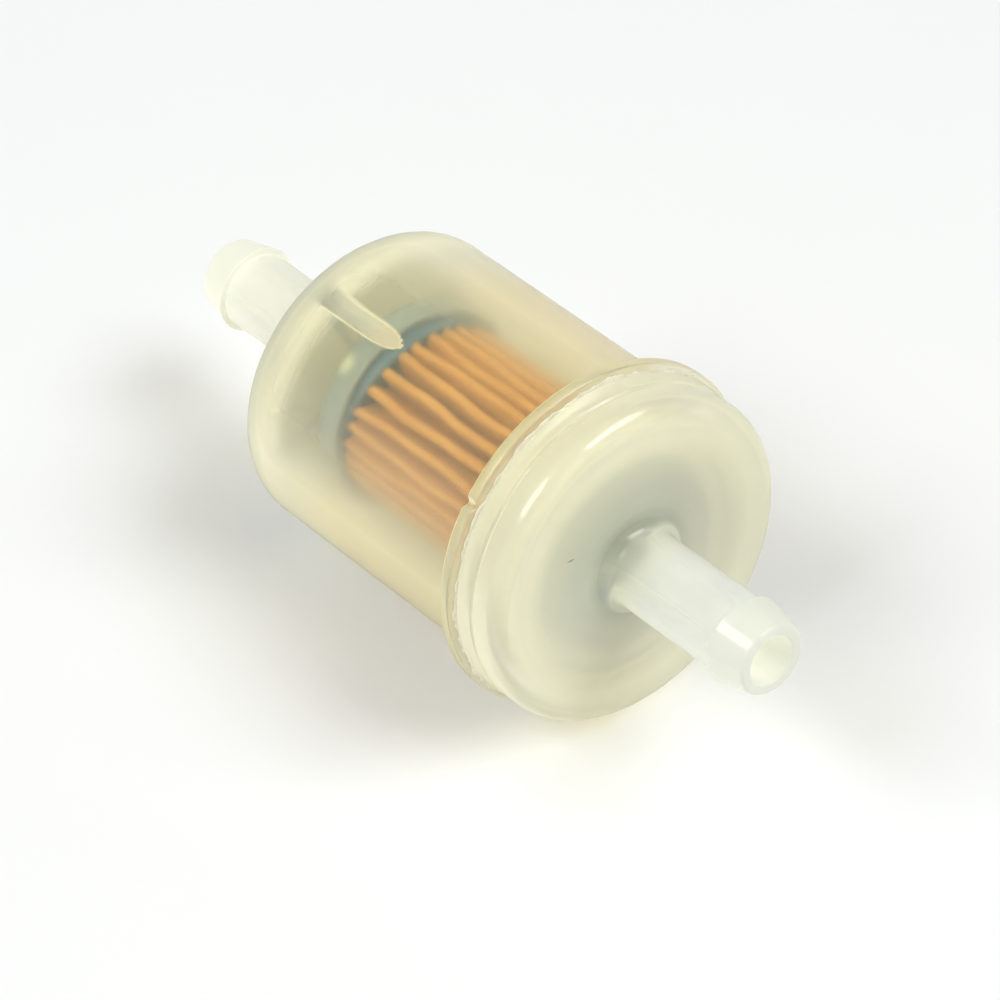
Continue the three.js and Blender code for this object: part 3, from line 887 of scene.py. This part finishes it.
def pleat_gather(pleat):
    """How far a fold stands from its even place, in degrees: the paper is bunched in places."""
    wave = math.cos(math.tau * GATHER_BUNCHES * (pleat - GATHER_CREST_FOLD) / PLEAT_COUNT)
    share = smoothstep(seam_distance(pleat) / GATHER_SEAM_REACH)
    return share * (GATHER_MIDDLE + GATHER_SWING * wave)


def pleat_side(x, is_outside):
    """One surface of the folded sheet at x, as (r, degrees) points. Each fold is an arc."""
    outer_fold = OUTER_FOLD_RADIUS - (0 if is_outside else PAPER_THICKNESS)
    inner_fold = INNER_FOLD_RADIUS - (PAPER_THICKNESS if is_outside else 0)
    outer_centre = PLEAT_OUTER_RADIUS - OUTER_FOLD_RADIUS
    inner_centre = PLEAT_INNER_RADIUS + INNER_FOLD_RADIUS
    points = []
    for i in range(2 * PLEAT_COUNT):
        is_outer = i % 2 == 0
        centre, fold = (outer_centre, outer_fold) if is_outer else (inner_centre, inner_fold)
        lean = pleat_lean(x, i / 2) * (1.0 if is_outer else INNER_FOLD_LEAN)
        middle = PLEAT_FIRST_ANGLE + 180 * i / PLEAT_COUNT + pleat_gather(i / 2) + lean
        for k in range(FOLD_STEPS + 1):
            turn = math.radians(FOLD_SWEEP * (2 * k / FOLD_STEPS - 1))
            r = centre + (fold if is_outer else -fold) * math.cos(turn)
            points.append((r, middle + math.degrees(fold * math.sin(turn) / centre)))
    return points


def sheet_faces(count):
    """Faces of the folded sheet: its two surfaces, and the edges that close its ends."""
    faces = []
    for k in range(PAPER_RINGS):
        this_ring = 2 * count * k
        next_ring = 2 * count * (k + 1)
        for i in range(count):
            a = this_ring + i
            b = this_ring + (i + 1) % count
            c = next_ring + (i + 1) % count
            d = next_ring + i
            faces.append((a, b, c, d))
            faces.append((b + count, a + count, d + count, c + count))
    for ring in (0, PAPER_RINGS):
        start = 2 * count * ring
        for i in range(count):
            a = start + i
            b = start + (i + 1) % count
            faces.append((a, b, b + count, a + count))
    return faces


def make_pleats(material):
    """The folded sheet. Its inlet end follows the slope of the potting that it goes into."""
    vertices = []
    for k in range(PAPER_RINGS + 1):
        along = k / PAPER_RINGS
        x = POTTING_SURFACE_X + (PLEAT_END_X - POTTING_SURFACE_X) * along
        for is_outside in (True, False):
            for r, angle in pleat_side(x, is_outside):
                slope = (1 - along) * potting_slope(r, angle)
                turn = math.radians(angle)
                vertices.append((x + slope, r * math.cos(turn), r * math.sin(turn)))
    faces = sheet_faces(len(vertices) // (2 * (PAPER_RINGS + 1)))
    face_outwards(new_piece("pleated_paper", vertices, faces, material, ["pleated_element"]))


def make_closed_end_cap(material):
    """A shallow dish that closes the inlet end of the element."""
    rim = CLOSED_CAP_X + END_CAP_DEPTH
    base = CLOSED_CAP_X + END_CAP_BASE
    corners = [
        (CLOSED_CAP_X, PINHOLE_RADIUS, 0.0),
        (CLOSED_CAP_X, END_CAP_RADIUS, CLOSED_CAP_CORNER),
        (rim, END_CAP_RADIUS, 0.2),
        (rim, END_CAP_RADIUS - END_CAP_WALL, 0.2),
        (base, END_CAP_RADIUS - END_CAP_WALL, 0.2),
        (base, PINHOLE_RADIUS, 0.0),
    ]
    turned_piece("closed_cap", corners, material, ["closed_end_cap"], steps=END_CAP_STEPS)


def make_open_end_cap(material):
    """A shallow dish with a hole, at the outlet end of the element."""
    rim = OPEN_CAP_X - END_CAP_DEPTH
    base = OPEN_CAP_X - END_CAP_BASE
    corners = [
        (OPEN_CAP_X, OPEN_CAP_HOLE_RADIUS, 0.2),
        (OPEN_CAP_X, END_CAP_RADIUS, 0.5),
        (rim, END_CAP_RADIUS, 0.2),
        (rim, END_CAP_RADIUS - END_CAP_WALL, 0.2),
        (base, END_CAP_RADIUS - END_CAP_WALL, 0.2),
        (base, OPEN_CAP_HOLE_RADIUS, 0.2),
    ]
    turned_piece("open_cap", corners, material, ["open_end_cap"], steps=END_CAP_STEPS)


def make_inlet_potting(material):
    """The potting in the closed end cap, whose surface slopes."""
    from_x = CLOSED_CAP_X + END_CAP_BASE + POTTING_GAP
    to_x = POTTING_SURFACE_X - POTTING_GAP
    corners = [
        (from_x, PINHOLE_RADIUS, 0.0),
        (from_x, POTTING_RADIUS, 0.1),
        (to_x, POTTING_RADIUS, 0.25),
        (to_x, PINHOLE_RADIUS, 0.0),
    ]

    def sloped(x, r, angle):
        """Slopes the surface and leaves the bottom level."""
        return x + potting_slope(r, angle) * (x - from_x) / (to_x - from_x), r

    node = ["inlet_end_potting"]
    turned_piece("inlet_potting", corners, material, node, sloped, POTTING_STEPS, step=0.6)


def make_outlet_potting(material):
    """The ring of potting in the open end cap."""
    from_x = PLEAT_END_X + POTTING_GAP
    to_x = OPEN_CAP_X - END_CAP_BASE - POTTING_GAP
    corners = [
        (from_x, POTTING_BORE_RADIUS, 0.1),
        (from_x, POTTING_RADIUS, 0.3),
        (to_x, POTTING_RADIUS, 0.3),
        (to_x, POTTING_BORE_RADIUS, 0.1),
    ]
    node = ["outlet_end_potting"]
    turned_piece("outlet_potting", corners, material, node, steps=POTTING_STEPS, step=0.6)


# ---------------------------------------------------------------- stage

FLOOR_TURN = Matrix.Rotation(FLOOR_TILT, 4, "Y")  # from the filter's frame to the floor
FLOOR_HALF_SIZE = 3.0  # metres
FLANGE_REST_X = FLANGE_BACK_X + 0.2  # where the flange's bevelled rim touches the floor

# The studio's pale walls, and its darker ceiling. Heights are from -1 below to 1 overhead.
WALL_LIGHT = 0.95
WALL_TOP = 0.1
CEILING_LIGHT = 0.12
CEILING_EDGE = 0.5
STUDIO_COLOUR = (0.97, 0.985, 1.0, 1.0)

WINDOW_DISTANCE = 1.3  # metres
WINDOW_COLOUR = (1.0, 0.99, 0.97)
# Each window's name, direction from the filter, width and height in metres, and power in watts.
WINDOWS = [
    ("right_window", (0.55, 0.34, 0.76), (0.85, 0.6), 13.4),
    ("left_window", (-0.12, -0.67, 0.735), (0.75, 0.6), 11.2),
]


def make_floor(material):
    """The tilted plane that the filter lies on."""
    corner = Vector((FLANGE_REST_X, 0, -FLANGE_RADIUS)) * MM
    signs = [(-1, -1), (1, -1), (1, 1), (-1, 1)]
    points = [Vector((x * FLOOR_HALF_SIZE, y * FLOOR_HALF_SIZE, 0)) for x, y in signs]
    mesh = bpy.data.meshes.new("floor")
    mesh.from_pydata([corner + FLOOR_TURN @ point for point in points], [], [(0, 1, 2, 3)])
    mesh.materials.append(material)
    floor = bpy.data.objects.new("floor", mesh)
    bpy.context.collection.objects.link(floor)


def make_window(name, direction, size, power):
    """A rectangular light that faces the filter."""
    data = bpy.data.lights.new(name, "AREA")
    data.shape = "RECTANGLE"
    data.size, data.size_y = size
    data.energy = power
    data.color = WINDOW_COLOUR
    light = bpy.data.objects.new(name, data)
    back = Vector(direction).normalized()
    side = Vector((0, 0, 1)).cross(back).normalized()
    up = back.cross(side)
    light.matrix_world = Matrix((side, up, back)).transposed().to_4x4()
    light.location = back * WINDOW_DISTANCE
    bpy.context.collection.objects.link(light)


def make_studio():
    """Pale light from all round, which fades towards the ceiling."""
    world = bpy.data.worlds.new("studio")
    world.use_nodes = True
    tree = world.node_tree
    background = tree.nodes["Background"]
    background.inputs["Color"].default_value = STUDIO_COLOUR
    coordinates = tree.nodes.new("ShaderNodeTexCoord")
    height = tree.nodes.new("ShaderNodeSeparateXYZ")
    level = tree.nodes.new("ShaderNodeMapRange")
    level.inputs["From Min"].default_value = WALL_TOP
    level.inputs["From Max"].default_value = CEILING_EDGE
    level.inputs["To Min"].default_value = WALL_LIGHT
    level.inputs["To Max"].default_value = CEILING_LIGHT
    tree.links.new(coordinates.outputs["Generated"], height.inputs["Vector"])
    tree.links.new(height.outputs["Z"], level.inputs["Value"])
    tree.links.new(level.outputs["Result"], background.inputs["Strength"])
    bpy.context.scene.world = world


# The camera's angles are measured from the floor. Its target is in the filter's frame.
VIEW_AZIMUTH = 50.9
VIEW_ELEVATION = 41.2
VIEW_DISTANCE = 529.2
VIEW_TARGET = (7.15, -4.68, 2.15)
FOCAL_LENGTH = 230.6
SENSOR_WIDTH = 36.0
FARTHEST_SEEN = 20.0  # metres


def make_camera():
    """A long lens that looks down on the outlet end."""
    azimuth = math.radians(VIEW_AZIMUTH)
    elevation = math.radians(VIEW_ELEVATION)
    flat = math.cos(elevation)
    back = Vector((math.sin(azimuth) * flat, -math.cos(azimuth) * flat, math.sin(elevation)))
    right = Vector((math.cos(azimuth), math.sin(azimuth), 0))
    up = back.cross(right)
    turn = FLOOR_TURN @ Matrix((right, up, back)).transposed().to_4x4()
    data = bpy.data.cameras.new("camera")
    data.lens = FOCAL_LENGTH
    data.sensor_width = SENSOR_WIDTH
    data.clip_end = FARTHEST_SEEN
    camera = bpy.data.objects.new("camera", data)
    camera.matrix_world = turn
    camera.location = Vector(VIEW_TARGET) * MM + turn.col[2].xyz * VIEW_DISTANCE * MM
    bpy.context.collection.objects.link(camera)
    bpy.context.scene.camera = camera


# ---------------------------------------------------------------- build

make_camera()
make_studio()
for window in WINDOWS:
    make_window(*window)
make_floor(studio_floor())

shell_nylon = nylon()
end_cap_material = end_cap_plastic()
potting_material = potting_compound()

make_cup(shell_nylon)
make_cap(shell_nylon)
make_weld(melted_nylon())
make_pleats(filter_paper())
make_closed_end_cap(end_cap_material)
make_open_end_cap(end_cap_material)
make_inlet_potting(potting_material)
make_outlet_potting(potting_material)

CARRIED_OVER = {
    "core_tube": core_plastic(),
    "seam_strip": seam_glue(),
    "outlet_gasket": gasket_rubber(),
}
for node, material in CARRIED_OVER.items():
    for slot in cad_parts[node].material_slots:
        slot.material = material

bpy.context.scene.view_settings.view_transform = "Standard"
